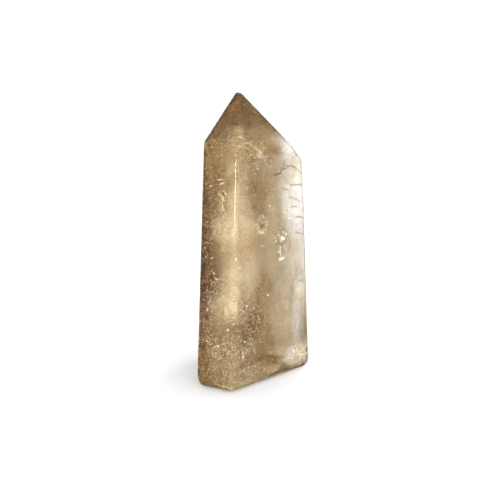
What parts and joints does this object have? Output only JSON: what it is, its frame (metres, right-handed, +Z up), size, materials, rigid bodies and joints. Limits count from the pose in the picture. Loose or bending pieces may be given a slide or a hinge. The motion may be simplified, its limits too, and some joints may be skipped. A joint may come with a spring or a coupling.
{
  "type": "quartz point",
  "caption": "Polished point of smoky tan quartz: a tapering six-sided crystal with a faceted tip and a flat sawn base to stand on.",
  "frame": {"origin": "on the flat base, under the middle of the crystal's box", "axes": "+Z up the crystal to its tip; -Y is the front, with the broad right face and the narrow left face; +X is the viewer's right"},
  "size_m": [0.0426, 0.043, 0.0998],
  "materials": {
    "quartz": "polished"
  },
  "bodies": {
    "root": {"quartz_point": "quartz"}
  },
  "joints": []
}
